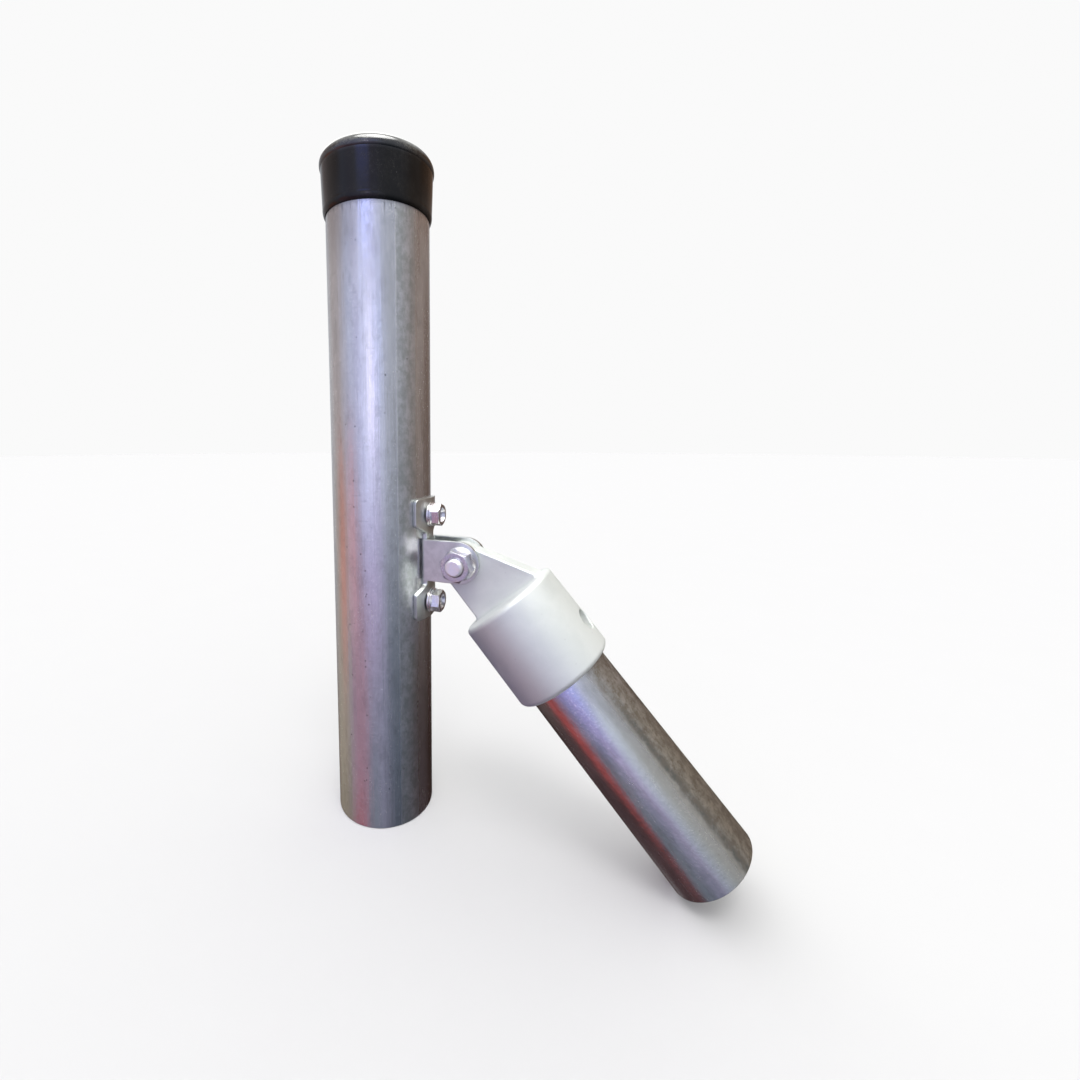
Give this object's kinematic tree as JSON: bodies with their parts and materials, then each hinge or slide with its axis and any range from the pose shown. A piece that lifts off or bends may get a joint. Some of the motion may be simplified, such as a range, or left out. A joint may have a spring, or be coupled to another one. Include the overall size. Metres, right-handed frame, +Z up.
{
  "type": "support strut",
  "caption": "Hinged fence brace: capped round post, screwed saddle bracket with two ears, pivot bolt, and a cast socket head carrying a round tube strut.",
  "frame": {"origin": "centre of the upright post's foot, on the ground", "axes": "+Z up the post, +X from the post towards the strut, +Y along the pivot bolt towards its head"},
  "size_m": [0.1924, 0.0526, 0.3202],
  "materials": {
    "galvanised_post": "hot-dip galvanised steel tube, soft sheen, fine drawn streaks along the tube and mottled dull patches",
    "galvanised_strut": "galvanised steel tube, dull mottled zinc with scuffs and a dark longitudinal weld line",
    "zinc_sheet": "zinc-plated pressed sheet steel, satin",
    "zinc_fastener": "bright zinc-plated steel",
    "cast_head": "fine-blasted cast aluminium, pale matt grey",
    "cap_plastic": "black moulded plastic, glossy crown, slightly duller skirt"
  },
  "bodies": {
    "upright": {"post_tube": "galvanised_post", "post_cap": "cap_plastic", "hinge_bracket": "zinc_sheet", "screw_washer_upper": "zinc_fastener", "bracket_screw_upper": "zinc_fastener", "screw_washer_lower": "zinc_fastener", "bracket_screw_lower": "zinc_fastener", "pivot_bolt": "zinc_fastener", "flange_nut": "zinc_fastener"},
    "head": {"strut_head": "cast_head"},
    "strut": {"strut_tube": "galvanised_strut"}
  },
  "joints": [
    {"name": "strut_pivot", "type": "hinge", "parent": "upright", "child": "head", "pos_m": [0.0435, 0, 0.13], "axis": [0, 1, 0], "range_deg": [-113, 35]},
    {"name": "strut_slide", "type": "slide", "parent": "head", "child": "strut", "axis": [0.6534, 0, -0.757], "range_m": [-0.001, 0.03]}
  ]
}
